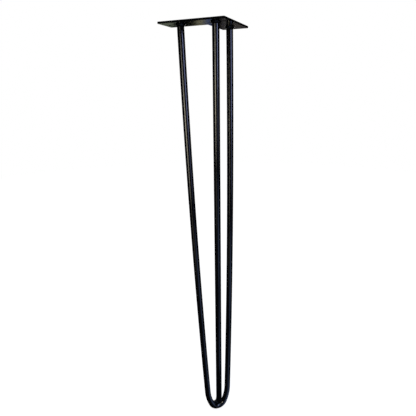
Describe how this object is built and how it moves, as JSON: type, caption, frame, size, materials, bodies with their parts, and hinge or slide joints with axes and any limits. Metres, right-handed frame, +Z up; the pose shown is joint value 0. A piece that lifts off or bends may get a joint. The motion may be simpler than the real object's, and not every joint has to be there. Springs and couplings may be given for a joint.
{
  "type": "hairpin table leg",
  "caption": "Black steel hairpin table leg: a rod bent into a hairpin and a straight corner rod, welded under an L-shaped plate that screws to a table top.",
  "frame": {"origin": "on the plate's top face, which meets the underside of the table top, over the end of the corner rod, where the centre lines of the plate's two arms cross", "axes": "+Z up, out of the plate's top face; the left arm of the plate runs along -X and the right arm along +Y, so the foot lies down -Z and the outer corner of the plate faces +X and -Y"},
  "size_m": [0.108, 0.108, 0.711],
  "materials": {
    "black_powder_coat": "semi-gloss black powder coat over mild steel, with a fine orange-peel texture"
  },
  "bodies": {
    "root": {"mounting_plate": "black_powder_coat", "hairpin_rod": "black_powder_coat", "corner_rod": "black_powder_coat", "plate_weld_left": "black_powder_coat", "plate_weld_corner": "black_powder_coat", "plate_weld_right": "black_powder_coat", "foot_weld": "black_powder_coat"}
  },
  "joints": []
}
